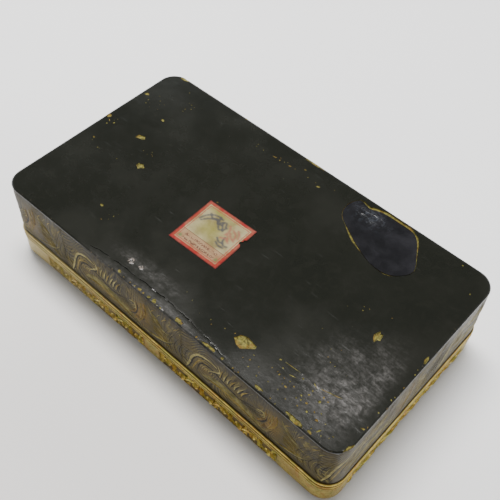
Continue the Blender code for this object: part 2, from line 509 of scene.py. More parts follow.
def label_paper():
    """Printed paper: a double red border, a ruled strip, faded ink and stains."""
    m = Finish("label_paper", Specular_IOR_Level=0.12)
    across, up = m.field("label_x"), m.field("label_y")
    shake = m.patches(0.9, 0.2, 0.8, -0.12, 0.12)
    inset = m.maths("MAXIMUM", m.maths("ABSOLUTE", across), m.maths("ABSOLUTE", up))
    inset = m.maths("ADD", m.maths("SUBTRACT", LABEL_SIDE / 2, inset), shake)
    stain = m.patches(7, 0.35, 0.7, detail=4)
    paper = m.mix(stain, (0.235, 0.200, 0.105), (0.120, 0.092, 0.034))
    paper = m.tint(paper, (0.135, 0.125, 0.018), m.field("stain_green"), 0.75)
    strip = m.span(up, DIVIDER_UP - 0.1, DIVIDER_UP + 0.1, 1.0, 0.0)
    paper = m.tint(paper, (0.200, 0.078, 0.040), strip, 0.5)
    marks = m.patches(0.62, 0.44, 0.54, detail=1, stretch=(1.0, 0.7, 1.0))
    paper = m.tint(paper, (0.070, 0.022, 0.012), m.times(m.field("rows"), marks), 0.95)
    paper = m.tint(paper, (0.028, 0.029, 0.034), m.field("ink"))
    paper = m.tint(paper, (0.180, 0.050, 0.032), m.field("blush"))
    paper = m.tint(paper, (0.050, 0.090, 0.026), m.field("green"))
    rule = m.span(m.maths("ABSOLUTE", m.maths("SUBTRACT", up, DIVIDER_UP)), 0.08, 0.22, 1.0, 0.0)
    paper = m.tint(paper, (0.080, 0.030, 0.014), rule, 0.8)
    fine_line = m.times(m.span(inset, 1.95, 2.05), m.span(inset, 2.30, 2.42, 1.0, 0.0))
    paper = m.tint(paper, (0.210, 0.030, 0.016), fine_line, 0.8)
    fade = m.patches(3.0, 0.3, 0.75, 1.0, 0.68, detail=4)
    paper = m.tint(paper, (0.180, 0.0040, 0.0022), m.span(inset, 1.45, 1.60, 1.0, 0.0), fade)
    paper = m.tint(paper, (0.060, 0.0025, 0.002), m.span(inset, 0.15, 0.60, 1.0, 0.0), 0.75)
    fibre = m.bump(m.noise(0.22, stretch=(0.5, 1.5, 1.0)), 0.03)
    return m.set(paper, m.span(stain, 0, 1, 0.55, 0.7), fibre)


def wall_ground():
    """The walls' gunmetal ground under washes of gold and olive, combed with fine lines."""
    m = Finish("wall_ground", Specular_IOR_Level=0.04)
    cloud = m.patches(7, 0.40, 0.62, detail=5, rough=0.6, distortion=0.8)
    colour = m.mix(cloud, (0.0170, 0.0165, 0.0150), (0.072, 0.0580, 0.0300))
    brushed = m.patches(0.8, 0.42, 0.66, detail=4, stretch=(1.0, 1.0, 0.35))
    colour = m.tint(colour, (0.050, 0.040, 0.016), brushed, 0.5)
    speckle = m.patches(1.4, 0.38, 0.62, 0.35, 1.0, detail=5, rough=0.7)
    colour = m.tint(colour, (0.165, 0.122, 0.016), m.field("gold_wash"), speckle)
    colour = m.tint(colour, (0.165, 0.088, 0.008), m.field("orange_wash"), speckle)
    uneven = m.times(m.noise(5, detail=2), 2.4)
    turns = m.times(m.field("flow"), 2 * math.pi / LINE_PITCH)
    wave = m.maths("SINE", m.maths("ADD", turns, uneven))
    broken = m.times(m.patches(2.6, 0.38, 0.60), m.patches(11, 0.42, 0.58, 0.25, 1.0, detail=2))
    pale = m.times(m.span(wave, 0.35, 0.85), broken)
    colour = m.tint(colour, (0.190, 0.155, 0.040), pale, 0.60)
    dark = m.times(m.span(wave, -0.95, -0.35, 1.0, 0.0), broken)
    colour = m.tint(colour, (0.006, 0.0048, 0.0034), dark, 0.85)
    colour = m.tint(colour, (0.016, 0.011, 0.003), m.field("shade"), 0.85)
    laid = m.bump(wave, 0.03, 0.7, m.bump(m.noise(0.5, detail=4), 0.018))
    # Painted sheen: the grey over the walls' ends goes on last.
    return m.set(m.painted_sheen_ends(colour), m.blend_values(cloud, 0.30, 0.44),
                 m.bump(m.noise(6), 0.10, 0.6, laid))


# The foliage's paints in slot order: name, dark tone, light tone and how metallic.
PAINTS = (
    ("paint_gold", (0.140, 0.095, 0.012), (0.300, 0.220, 0.046), 0.1),
    ("paint_cream", (0.170, 0.140, 0.040), (0.380, 0.330, 0.125), 0.0),
    ("paint_orange", (0.060, 0.036, 0.006), (0.185, 0.110, 0.014), 0.0),
    ("paint_dark", (0.005, 0.004, 0.003), (0.016, 0.0125, 0.008), 0.0),
    ("paint_olive", (0.075, 0.064, 0.014), (0.215, 0.185, 0.058), 0.0),
)


def painted(name, low, high, metallic):
    """Gilding or paint laid on by brush, from a dark to a light tone of its colour."""
    m = Finish(name, Metallic=metallic, Specular_IOR_Level=0.06)
    colour = m.mix(m.patches(3.2, 0.35, 0.66, detail=5, rough=0.65), low, high)
    colour = m.tint(colour, (0.050, 0.042, 0.030), m.patches(0.8, 0.56, 0.70, detail=4), 0.55)
    # Painted sheen: the same grey over the paint at the walls' ends.
    return m.set(m.painted_sheen_ends(colour), m.patches(1.4, 0.3, 0.7, 0.37, 0.57),
                 m.bump(m.noise(0.4), 0.020))


# The leaf's darkest and lightest tone, and its green and orange patches.
GOLD_TONES = ((0.290, 0.188, 0.025), (0.450, 0.345, 0.070), (0.225, 0.215, 0.026),
              (0.320, 0.155, 0.018))


def aged_gold(name, shine=0.34, gain=1.0, soiling=0.50):
    """Gold leaf over gesso, browned and darkened with painted shade in its hollows, and paler
    toward the left end.

    shine is its roughness where clean, gain brightens the leaf, soiling is the grime's share.
    """
    m = Finish(name, Metallic=0.40, Specular_IOR_Level=0.3)
    dark, light, green, orange = (tuple(part * gain for part in tone) for tone in GOLD_TONES)
    colour = m.mix(m.patches(6.5, 0.32, 0.68, detail=5, rough=0.6), dark, light)
    colour = m.tint(colour, green, m.patches(7, 0.46, 0.62, detail=4, distortion=0.6), 0.75)
    colour = m.tint(colour, orange, m.patches(5.5, 0.52, 0.66, distortion=0.8), 0.80)
    grime = m.patches(1.0, 0.50, 0.66, detail=5, rough=0.7)
    colour = m.tint(colour, (0.085, 0.056, 0.010), grime, soiling)
    # Brown and painted shade in the hollows: the frieze's ground, its top edge and the beads'
    # quirks.
    hollow = m.field("hollow")
    colour = m.tint(colour, (0.070, 0.044, 0.009), hollow)
    # Paler toward the left end.
    paler_leftward = m.span(m.along("X"), -0.085, 0.000, 0.60, 0.0)
    colour = m.tint(colour, (0.430, 0.350, 0.160), paler_leftward)
    fine = m.bump(m.noise(0.5, detail=4), 0.020)
    return m.set(colour, m.blend_values(m.maths("MAXIMUM", grime, hollow), shine, shine + 0.25),
                 m.bump(m.noise(3.2), 0.06, 0.7, fine))


def red_lacquer():
    """The inner strips' worn red-brown lacquer."""
    m = Finish("red_lacquer", Specular_IOR_Level=0.5)
    colour = m.mix(m.patches(12, 0.35, 0.7, detail=4), (0.100, 0.022, 0.016), (0.160, 0.040, 0.024))
    worn = m.patches(1.5, 0.58, 0.70, detail=5, stretch=(0.4, 0.4, 1.0))
    colour = m.tint(colour, (0.055, 0.016, 0.012), worn, 0.6)
    return m.set(colour, m.patches(4, 0.3, 0.7, 0.30, 0.45),
                 m.bump(m.noise(0.7, stretch=(0.4, 0.4, 1.0)), 0.03))


def lining_paper():
    """Dark red lining paper with a fine fibre and faded patches."""
    m = Finish("lining_paper", Specular_IOR_Level=0.2)
    colour = m.mix(m.patches(18, 0.35, 0.7, detail=5), (0.130, 0.024, 0.018), (0.215, 0.058, 0.038))
    fibres = m.patches(0.5, 0.56, 0.70, stretch=(0.25, 1.6, 1.0))
    colour = m.tint(colour, (0.300, 0.140, 0.090), fibres, 0.35)
    return m.set(colour, m.patches(2, 0.3, 0.7, 0.72, 0.88),
                 m.bump(m.noise(0.4, stretch=(0.4, 1.5, 1.0)), 0.05))


def studio_paper():
    """The pale floor, with painted shade making it a little darker toward the front."""
    m = Finish("studio_paper", Specular_IOR_Level=0.1)
    colour = m.mix(m.patches(300, 0.3, 0.7), (0.78, 0.78, 0.785), (0.80, 0.80, 0.80))
    # Painted shade: darker and warmer toward the front.
    front = m.span(m.along("Y"), -0.170, 0.020, 1.0, 0.0)
    return m.set(m.tint(colour, (0.640, 0.620, 0.605), front), 0.95)


# ---------------------------------------------------------------- the black base

# Chips down to the ochre ground: place, length, breadth, turn in degrees, depth. Places near
# the edge run on over it, as if the edge were unrolled into the face.
CHIPS = (
    (-82.0, 48.9, 6.0, 2.2, 8, 0.22), (-42.5, 49.2, 1.4, 0.8, 0, 0.15),
    (-87.0, 29.4, 2.4, 1.9, 30, 0.20), (-83.1, 24.8, 0.9, 0.8, 0, 0.12),
    (-68.9, 22.0, 2.2, 1.2, -20, 0.10), (-68.1, 7.9, 4.8, 2.7, 28, 0.22),
    (-55.3, -4.3, 4.2, 3.5, 20, 0.25), (-88.4, 7.6, 3.0, 2.0, -60, 0.22),
    (-86.4, 5.6, 1.7, 0.5, -35, 0.10), (-83.1, -6.3, 1.2, 0.9, -30, 0.15),
    (-77.0, -9.4, 0.7, 0.6, 0, 0.08), (-65.9, -8.3, 0.7, 0.5, 0, 0.08),
    (-50.3, -30.2, 1.7, 1.3, 0, 0.16), (-44.8, -35.5, 0.8, 0.5, 0, 0.08),
    (-73.7, 43.7, 0.8, 0.6, 0, 0.10), (-67.0, 38.5, 1.1, 0.7, 20, 0.10),
    (-27.5, 39.6, 1.0, 0.4, 0, 0.08), (-23.8, 39.8, 0.8, 0.4, 0, 0.08),
    (-17.5, 40.3, 2.2, 0.5, 8, 0.10), (-9.2, 40.7, 1.5, 0.6, 10, 0.08),
    (-6.4, 40.9, 0.8, 0.5, 0, 0.08), (-2.8, 43.7, 1.2, 0.7, 20, 0.10),
    (7.2, 39.8, 2.2, 0.8, 25, 0.12), (-17.2, 3.9, 1.1, 0.5, 10, 0.08),
    (-2.6, 49.0, 12.5, 0.9, 0, 0.20), (84.6, 37.5, 0.8, 0.8, 0, 0.10),
    (75.0, 47.2, 0.8, 0.5, 30, 0.08), (60.8, 5.3, 0.6, 0.5, 0, 0.08),
    (88.9, 1.8, 4.2, 1.9, 96, 0.28), (89.4, -5.8, 0.9, 0.6, 90, 0.10),
    (50.6, -34.2, 1.1, 1.0, 0, 0.12), (55.2, -33.6, 7.0, 0.30, 4, 0.03),
    (58.0, -36.4, 3.4, 0.40, 16, 0.03), (72.6, -32.2, 10.0, 0.36, 16, 0.03),
    (66.3, -33.6, 2.4, 0.4, -25, 0.03), (71.4, -37.5, 1.7, 1.4, 20, 0.18),
    (58.9, -41.3, 1.3, 0.7, 0, 0.10), (64.4, -41.9, 0.8, 0.6, 0, 0.10),
    (44.1, -44.5, 0.9, 0.6, 40, 0.10), (46.9, -41.9, 0.7, 0.5, 0, 0.08),
    (75.0, -43.5, 1.3, 1.0, 10, 0.14), (78.0, -45.9, 2.8, 0.7, 62, 0.12),
    (68.3, -41.0, 1.1, 0.8, 0, 0.12), (62.0, -44.8, 0.7, 0.5, 0, 0.08),
    (88.5, -35.0, 1.9, 0.8, 20, 0.12), (89.4, -44.8, 6.5, 1.8, 84, 0.30),
    (-19.8, -48.2, 2.1, 1.5, 0, 0.14), (-8.3, -48.6, 2.6, 1.3, 0, 0.16),
    (-3.1, -48.5, 1.5, 1.3, 0, 0.14), (-0.4, -48.5, 2.6, 1.9, 0, 0.18),
    (12.8, -48.3, 4.8, 1.9, 0, 0.22), (28.6, -48.4, 8.0, 1.3, 0, 0.16),
    (35.2, -48.5, 1.5, 1.3, 0, 0.12), (52.4, -48.3, 4.4, 1.5, 4, 0.20),
    (69.6, -48.6, 8.6, 2.0, -3, 0.32), (75.9, -48.4, 2.2, 1.4, -10, 0.24),
    (27.3, -38.6, 0.6, 0.5, 0, 0.08), (31.4, -37.6, 0.8, 0.7, 0, 0.10),
    (22.4, -40.8, 0.6, 0.5, 0, 0.08),
)

# The two chips whose outlines are plain in the lacquer, point by point, and their depths.
FACET_CHIP = ((32.2, -39.1), (33.4, -36.6), (35.8, -35.5), (41.0, -36.3), (41.2, -37.4),
              (37.0, -41.1), (34.8, -40.8))
ARROW_CHIP = ((68.6, -2.4), (69.6, 0.6), (70.3, -0.7), (71.3, -0.2), (72.0, -3.2), (70.9, -3.6),
              (70.6, -5.3), (69.3, -4.0))
DRAWN_CHIPS = ((FACET_CHIP, 0.34), (ARROW_CHIP, 0.28))

# The set-back flake: the gap round it (widest where its edge has crumbled), by direction.
FLAKE_GAPS = ((-180, 0.25), (-164, 0.30), (-156, 0.90), (-146, 1.35), (-138, 0.55), (-130, 1.60),
              (-116, 1.30), (-107, 0.45), (-98, 0.30), (-75, 0.25), (-55, 0.30), (-46, 0.75),
              (-30, 0.25), (0, 0.25), (20, 0.35), (38, 1.00), (50, 0.85), (62, 1.55), (90, 1.60),
              (112, 1.50), (122, 1.20), (138, 1.45), (147, 0.45), (160, 0.25), (180, 0.25))
# The trench's depth, how much lower than the lacquer the flake lies, and its thickness.
FLAKE_TRENCH = 0.45
FLAKE_SUNK = 0.06
FLAKE_THICKNESS = 0.42

# Crusts: place and radius. Then the line of the crease inside the front edge, and the strip of
# the face that it and its banks take up.
CRUST_SPOTS = ((-20.3, -41.4, 1.15), (-15.3, -41.0, 0.75))
CREASE_LINE = ((-46.0, -49.4), (-42.0, -48.4), (-36.0, -47.1), (-28.0, -45.9), (-20.0, -45.6),
               (-12.0, -45.2), (-3.0, -44.9), (5.0, -44.8), (12.0, -45.2), (20.0, -45.8),
               (30.0, -46.9), (37.0, -48.1), (42.0, -49.4))
STRIP_LOW, STRIP_HIGH = np.array([-50.0, -48.6]), np.array([44.0, -43.9])
# Lengths of crack in the crease: from, to and breadth; and how deep they are.
CRACKS = ((-38.0, -27.0, 0.26), (-25.8, -13.0, 0.38), (-12.2, 8.0, 0.50), (9.0, 20.0, 0.36),
          (24.0, 34.5, 0.28))
CRACK_DEPTH = 0.40

# Clusters of specks: place, spread along x and y, how many, and their size.
SPECKS = (
    (-85.2, 5.4, 2.6, 2.6, 16, 0.75), (-79.0, 26.0, 6.0, 7.0, 9, 0.5),
    (-62.0, 36.0, 9.0, 6.0, 7, 0.5), (-58.0, 3.5, 3.0, 2.5, 6, 0.5),
    (-8.0, 41.3, 17.0, 1.4, 12, 0.6), (-82.0, -8.0, 5.0, 3.0, 4, 0.5),
    (57.0, -39.0, 7.0, 4.5, 22, 0.8), (70.0, -40.0, 7.0, 4.5, 18, 0.95),
    (78.0, -44.0, 6.0, 3.0, 9, 0.7), (44.0, -43.0, 6.0, 2.6, 9, 0.7),
    (12.0, -39.0, 9.0, 3.5, 4, 0.45), (66.0, -21.0, 12.0, 9.0, 10, 0.45),
    (62.0, 3.5, 10.0, 3.0, 6, 0.5), (26.0, 41.0, 3.0, 3.5, 5, 0.5),
    (-43.0, -33.0, 4.0, 4.0, 5, 0.5), (30.0, -48.6, 14.0, 0.4, 12, 0.8),
    (-10.0, -48.8, 14.0, 0.4, 12, 0.8), (89.0, -20.0, 0.5, 20.0, 9, 0.8),
    (66.0, -48.4, 14.0, 0.5, 8, 0.9),
)
SPECK_DEPTH = 0.07

# Spacing of the face's points: on the face, in the strip past the crease, round the crusts and
# along the edge. Then the width of the bank from the face down into a chip.
FACE_STEP, STRIP_STEP, CRUST_STEP, EDGE_STEP = 1.05, 0.45, 0.32, 0.95
CHIP_BANK = 0.10


def flake_outline():
    """The flake's outline from its CAD node, counter-clockwise, and its middle."""
    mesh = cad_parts["lacquer_flake"].data
    points = np.array([vertex.co for vertex in mesh.vertices]) / MM
    rim = np.unique(points[points[:, 2] > points[:, 2].max() - 0.01][:, :2].round(4), axis=0)
    middle = (rim.max(0) + rim.min(0)) / 2
    turn = np.arctan2(rim[:, 1] - middle[1], rim[:, 0] - middle[0])
    return rim[np.argsort(turn)], middle


def grown_outline(points, distance):
    """A counter-clockwise outline moved outward by a distance, or one for each point."""
    along = np.roll(points, -1, 0) - np.roll(points, 1, 0)
    along /= np.hypot(along[:, 0], along[:, 1])[:, None]
    return points + np.stack([along[:, 1], -along[:, 0]], 1) * np.reshape(distance, (-1, 1))


def ragged_outline(x, y, length, breadth, turn, chance):
    """An uneven, angular outline round a place."""
    corners = max(6, min(16, int(5 + length * 1.6)))
    angles = (np.arange(corners) + [chance.uniform(-0.3, 0.3) for _ in range(corners)])
    angles *= 2 * math.pi / corners
    reach = np.array([chance.uniform(0.62, 1.20) for _ in range(corners)])
    local = np.stack([np.cos(angles) * reach * length / 2, np.sin(angles) * reach * breadth / 2])
    c, s = math.cos(math.radians(turn)), math.sin(math.radians(turn))
    return (np.array([[c, -s], [s, c]]) @ local).T + (x, y)


def inside_outline(points, outline):
    """Which points lie inside an outline."""
    x, y = points[:, 0], points[:, 1]
    result = np.zeros(len(points), bool)
    for (x0, y0), (x1, y1) in zip(outline, np.roll(outline, -1, 0)):
        crosses = (y0 > y) != (y1 > y)
        with np.errstate(divide="ignore", invalid="ignore"):
            at = (x1 - x0) * (y - y0) / (y1 - y0) + x0
        result ^= crosses & (x < at)
    return result


def near_outline(points, outline, reach):
    """Which points lie within reach of an outline's line."""
    low, high = outline.min(0) - reach, outline.max(0) + reach
    near = np.zeros(len(points), bool)
    box = np.nonzero(((points > low) & (points < high)).all(1))[0]
    for start, end in zip(outline, np.roll(outline, -1, 0)):
        run = end - start
        share = np.clip(((points[box] - start) @ run) / max(run @ run, 1e-9), 0, 1)
        gap = points[box] - start - share[:, None] * run
        near[box] |= np.hypot(gap[:, 0], gap[:, 1]) < reach
    return near


def lattice(low, high, step):
    """A triangular lattice of points in a box."""
    rows = np.arange(low[1], high[1], step * math.sqrt(3) / 2)
    points = []
    for index, y in enumerate(rows):
        x = np.arange(low[0] + step / 2 * (index % 2), high[0], step)
        points.append(np.stack([x, np.full(len(x), y)], 1))
    return np.concatenate(points)


def shine_field(x, y):
    """Where the lacquer has stayed shiny and lumpy: the near corner and a patch in front."""
    patch, back = hill(x, y, -9, -40.5, 15, 3.6), hill(x, y, 66, 9, 12, 6)
    return np.clip(hill(x, y, 72, -24, 19, 20, 1.5) * 1.1 + patch + 0.35 * back, 0, 1)


def painted_sheen_field(x, y):
    """Where a grey sheen is painted into the lacquer's colour: the near corner, round the crusts
    and past the crease.
    """
    corner = 0.74 * hill(x, y, 79, -26, 17, 19, 1.4) * np.clip((LENGTH / 2 - 2.5 - x) / 4, 0, 1)
    front = 0.34 * hill(x, y, 66, -42, 16, 5)
    crusts = 0.45 * hill(x, y, -12, -40.5, 13, 3.2)
    lip = 0.34 * np.clip(crease(x, y) / 0.03, 0, 1) * (y < crease_line(x) - 0.3)
    return np.clip(np.maximum.reduce([corner, front, crusts, lip]), 0, 1)


def crease_line(x):
    """Where the crease inside the front edge runs."""
    return np.interp(x, *np.transpose(CREASE_LINE)) + 0.25 * np.sin(x * 0.9) * np.cos(x * 0.37)


def crease(x, y):
    """How deep the crease inside the front edge is, and how far the strip past it droops."""
    line = crease_line(x)
    along = np.clip((x - CREASE_LINE[0][0]) / 5, 0, 1) * np.clip((CREASE_LINE[-1][0] - x) / 9, 0, 1)
    groove = 0.02 * np.exp(-((y - line) / 0.40) ** 2)
    droop = 0.05 * np.clip((line - y) / 3.6, 0, 1) ** 1.3
    return along * (groove + droop)


def dull_shaded_edge_field(x, y):
    """Where the lacquer's edge is made less glossy and darkened with painted shade: at the back and
    the left.
    """
    out, core_x, core_y = outside_plan(x, y)
    behind = np.clip((0.6 * (core_x - x) + 0.8 * (y - core_y)) / CORNER - 0.1, 0, 1)
    return np.clip((out + EDGE_ROUND + 0.05) / 0.1, 0, 1) * np.clip(behind * 3, 0, 1)


def base_height(x, y):
    """The black face's rise and fall about its flat, in millimetres."""
    wave = 0.05 * lumps(x, y, 32, 1.0) + 0.022 * lumps(x, y, 9, 2.0)
    shiny = shine_field(x, y)
    wave += shiny * (0.05 * lumps(x, y, 6.0, 3.0) + 0.03 * lumps(x, y, 2.4, 4.0))
    for spot_x, spot_y, radius in CRUST_SPOTS:
        ring = crust_ring(x, y, spot_x, spot_y, radius)
        wave += 0.13 * np.exp(-((ring - 0.85) / 0.28) ** 2) - 0.10 * np.exp(-(ring / 0.45) ** 2)
    return wave - 0.06 - crease(x, y)


def crust_ring(x, y, spot_x, spot_y, radius):
    """How far out points lie in a crust, with 1 near its ragged rim."""
    uneven = 1 + 0.38 * lumps(x, y, 0.9, 15.0)
    return np.hypot(x - spot_x, (y - spot_y) * 1.15) / radius / uneven


def roll_over(points, rise):
    """Unrolled face points as places in space: flat, then round the edge and down."""
    out, core_x, core_y = outside_plan(points[:, 0], points[:, 1])
    past = np.maximum(out + EDGE_ROUND, 0)
    turned = np.minimum(past / EDGE_ROUND / (math.pi / 2), 1)
    bend = np.where(past > 0, EDGE_BREAK + turned * (math.pi / 2 - EDGE_BREAK), 0.0)
    round_reach = (np.sin(bend) - math.sin(EDGE_BREAK)) / (1 - math.sin(EDGE_BREAK))
    round_drop = (math.cos(EDGE_BREAK) - np.cos(bend)) / math.cos(EDGE_BREAK)
    reach = np.where(past > 0, EDGE_ROUND * (round_reach - 1) + FILM * (turned > 0.6), out)
    drop = np.where(past > 0, EDGE_ROUND * round_drop, 0.0)
    drop += np.maximum(past - EDGE_ROUND * math.pi / 2, 0)
    away = np.stack([points[:, 0] - core_x, points[:, 1] - core_y], 1)
    away /= np.maximum(np.hypot(away[:, 0], away[:, 1]), 1e-6)[:, None]
    rim = past > 0
    x = np.where(rim, core_x + away[:, 0] * (CORNER + reach + rise * np.sin(bend)), points[:, 0])
    y = np.where(rim, core_y + away[:, 1] * (CORNER + reach + rise * np.sin(bend)), points[:, 1])
    return np.stack([x, y, TOP - drop + rise * np.cos(bend)], 1)


def apart(outline, features):
    """Whether an outline stays clear of the others, the label, the flake and the far side."""
    low, high = outline.min(0) - 0.5, outline.max(0) + 0.5
    if (high > LABEL_LOW[:2]).all() and (low < LABEL_HIGH[:2]).all():
        return False
    if inside_outline(outline.mean(0)[None, :], grown_outline(flake_outline()[0], 3.0))[0]:
        return False
    out = outside_plan(outline[:, 0], outline[:, 1])[0].max()
    if out > 0.3:
        return False
    return all((low > other.max(0)).any() or (high < other.min(0)).any()
               for other, *_ in features)


def base_features():
    """What is cut into the lacquer: each outline, its depth, its bank's width and its slot."""
    chance = random.Random(11)
    features = [(ragged_outline(*chip[:5], chance), chip[5], CHIP_BANK, OCHRE) for chip in CHIPS]
    features += [(np.array(outline)[::-1], depth, CHIP_BANK * 2, OCHRE)
                 for outline, depth in DRAWN_CHIPS]
    features += crack_outlines()
    for x, y, wide, deep, count, size in SPECKS:
        for _ in range(count):
            spot = (chance.gauss(x, wide * 0.6), chance.gauss(y, deep * 0.6))
            long = size * chance.uniform(0.6, 1.5)
            turn = chance.uniform(0, 180)
            outline = ragged_outline(*spot, long, long * chance.uniform(0.45, 0.9), turn, chance)
            if apart(outline, features):
                features.append((outline, SPECK_DEPTH, CHIP_BANK * 0.6, OCHRE))
    rim, middle = flake_outline()
    turn = np.degrees(np.arctan2(rim[:, 1] - middle[1], rim[:, 0] - middle[0]))
    ragged = np.array([chance.uniform(0.8, 1.25) for _ in rim])
    widths = np.interp(turn, *np.transpose(FLAKE_GAPS)) * ragged * 0.82
    features.append((grown_outline(rim, widths), FLAKE_TRENCH, CHIP_BANK, OCHRE))
    return features


def crack_outlines():
    """The crack along the crease, in a few lengths: narrow dark trenches in the lacquer."""
    cracks = []
    for start, end, wide in CRACKS:
        x = np.arange(start, end, 0.8)
        share = np.sin(np.linspace(0, math.pi, len(x))) ** 0.6
        half = wide / 2 * (0.25 + 0.75 * share) * (1 + 0.3 * np.sin(x * 2.3))
        line = crease_line(x)
        lower, upper = np.stack([x, line - half], 1), np.stack([x, line + half], 1)
        cracks.append((np.concatenate([lower, upper[::-1]]), CRACK_DEPTH, 0.05, LACQUER))
    return cracks


def face_points():
    """The base's edge as closed rings, and the loose points on its face."""
    end = -EDGE_ROUND + EDGE_ROUND * math.pi / 2 + LACQUER_SKIRT
    s = np.arange(0, PERIMETER, PERIMETER / round(PERIMETER / EDGE_STEP))
    offsets = [end, *np.linspace(-EDGE_ROUND + 0.001, end - 0.25, 5)]
    rings = [np.stack(on_plan(s, offset)[:2], 1) for offset in offsets]
    inset = np.stack(on_plan(s + EDGE_STEP / 2, -EDGE_ROUND - 0.45)[:2], 1)
    half = np.array([LENGTH / 2, WIDTH / 2])
    inner = lattice(-half, half, FACE_STEP)
    inner = inner[outside_plan(inner[:, 0], inner[:, 1])[0] < -EDGE_ROUND - 0.8]
    crusts = [lattice(np.array([x, y]) - 2.2 * r, np.array([x, y]) + 2.2 * r, CRUST_STEP)
              for x, y, r in CRUST_SPOTS]
    strip = lattice(STRIP_LOW, STRIP_HIGH, STRIP_STEP)
    return rings, np.concatenate([inner, inset, *crusts, strip])


def base_triangles(features):
    """The unrolled face in triangles that follow its edge and every outline cut into it."""
    rings, loose = face_points()
    outlines = []
    for outline, _, bank, _ in features:
        outlines += [outline, grown_outline(outline, -bank)]
    for outline in outlines:
        loose = loose[~near_outline(loose, outline, 0.16)]
    return triangulated([*rings, *outlines], loose, 0)


def base_fields(x, y):
    """What the lacquer's finish reads from the base's points."""
    out = outside_plan(x, y)[0]
    crusts = [np.exp(-((crust_ring(x, y, *spot) - 0.85) / 0.35) ** 2) for spot in CRUST_SPOTS]
    return {"shine": shine_field(x, y), "painted_sheen": painted_sheen_field(x, y), "dull_shaded_edge": dull_shaded_edge_field(x, y),
            "rub": np.clip((out + EDGE_ROUND + 0.6) / 1.4, 0, 1), "crust": sum(crusts)}


def make_base(materials):
    """The lacquered base: its face, rolled edge and chips in one closed skin, and its plug."""
    features = base_features()
    flat, faces = base_triangles(features)
    x, y = flat[:, 0], flat[:, 1]
    rise, grit = base_height(x, y), lumps(x, y, 1.1, 9.0)
    centres = np.array([flat[face].mean(0) for face in faces])
    slots = np.zeros(len(faces), int)
    for outline, depth, bank, slot in features:
        floor = inside_outline(flat, grown_outline(outline, -bank * 0.6))
        rise[floor] -= depth * (1 + 0.35 * grit[floor])
        slots[inside_outline(centres, outline)] = slot

    mesh = bpy.data.meshes.new("base_lacquer")
    mesh.from_pydata((settle(roll_over(flat, rise)) * MM).tolist(), [], faces)
    mesh.polygons.foreach_set("material_index", slots)
    add_fields(mesh, base_fields(x, y))
    close_underneath(mesh)
    mesh.shade_smooth()
    mesh.set_sharp_from_angle(angle=BASE_SHARP)
    with edited(mesh) as shape:
        for edge in shape.edges:
            edge.smooth &= len({face.material_index for face in edge.link_faces}) < 2
    piece = add_piece("base_lacquer", mesh, materials, "box")
    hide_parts("base_board")


def close_underneath(mesh):
    """Carries the skin's open rim in under the board and round the plug to a flat end."""
    with edited(mesh) as shape:
        edges = [edge for edge in shape.edges if edge.is_boundary]
        for height in (PLUG_TOP, BASE_LOW[2]):
            made = bmesh.ops.extrude_edge_only(shape, edges=edges)["geom"]
            edges = [item for item in made if isinstance(item, bmesh.types.BMEdge)]
            for vertex in (item for item in made if isinstance(item, bmesh.types.BMVert)):
                place = np.array(vertex.co[:2]) / MM
                core = np.clip(place, (-CORE_X, -CORE_Y), (CORE_X, CORE_Y))
                away = place - core
                spot = core + away / max(np.hypot(*away), 1e-6) * (CORNER + PLUG_SIDE)
                vertex.co = Vector((*spot, height)) * MM
        bmesh.ops.edgeloop_fill(shape, edges=edges)
        bmesh.ops.recalc_face_normals(shape, faces=shape.faces)


def make_flake(finish):
    """The flake in its trench: a thin plate, a little lower than the lacquer round it."""
    rim, middle = flake_outline()
    count = len(rim)
    shares = np.linspace(1, 0, 22)[:-1]
    flat = np.concatenate([middle + (rim - middle) * share for share in shares] + [middle[None]])
    x, y = flat[:, 0], flat[:, 1]
    wrinkle = hill(x, y, 33, 42, 8, 5)
    sag = 0.10 * (1 - np.hypot(x - middle[0], y - middle[1]) / 20)
    top = TOP - FLAKE_SUNK
    z = top + wrinkle * 0.10 * lumps(x, y, 2.6, 5.0) + 0.05 * lumps(x, y, 10, 6.0) - sag
    under = np.column_stack([rim, np.full(count, top - FLAKE_THICKNESS)])
    last, bottom = (len(shares) - 1) * count, len(flat)
    faces = ring_faces(len(shares), count, False)
    faces += [(a, b, bottom - 1) for a, b in neighbours(count, last)]
    faces += [(bottom + a, bottom + b, b, a) for a, b in neighbours(count)]
    faces.append(list(range(bottom, bottom + count))[::-1])
    shape = Shape()
    shape.add(np.concatenate([np.column_stack([flat, z]), under]), faces)
    wrinkle = np.concatenate([wrinkle, np.zeros(count)])
    piece = shape.make("flake_plate", [finish], "box", {"wrinkle": wrinkle})
    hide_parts("lacquer_flake")


# ---------------------------------------------------------------- the label

LABEL_TURN = math.radians(1.7)
LABEL_SIDE = (LABEL_HIGH - LABEL_LOW)[0] / (math.cos(LABEL_TURN) + math.sin(LABEL_TURN))
LABEL_THICKNESS = 0.09
# The height of the line over the ruled strip, the torn place, and brush strokes that show
# nothing, all from the label's middle.
DIVIDER_UP = -5.3
LABEL_TEAR = ((12.6, 6.3), (11.4, 5.6), (11.9, 4.9), (10.7, 4.0), (11.0, 3.1), (12.0, 2.8),
              (12.6, 2.0))
INK_STROKES = (
    ((-9.6, 2.6), (-8.4, 5.4), (-6.4, 7.4), (-4.0, 8.2), (-1.6, 8.0)),
    ((-8.6, 2.2), (-6.8, 4.4), (-4.6, 5.9), (-2.4, 6.6)),
    ((-7.6, 7.4), (-5.6, 6.0), (-3.6, 6.8), (-2.0, 5.2), (-0.2, 5.6)),
    ((-3.1, 8.4), (-2.2, 5.2), (-1.0, 6.6), (0.6, 7.6), (1.6, 5.9)),
    ((-1.4, 4.6), (0.2, 3.2), (1.6, 3.9), (2.4, 5.6)), ((-0.6, 6.9), (0.7, 4.9), (2.0, 3.4)),
    ((5.0, 1.6), (5.6, -0.6), (7.0, -1.9), (8.6, -1.6)), ((3.6, -2.4), (5.6, -3.2), (7.6, -3.0)),
    ((2.6, -0.4), (4.4, -1.6), (6.0, -1.2)),
)
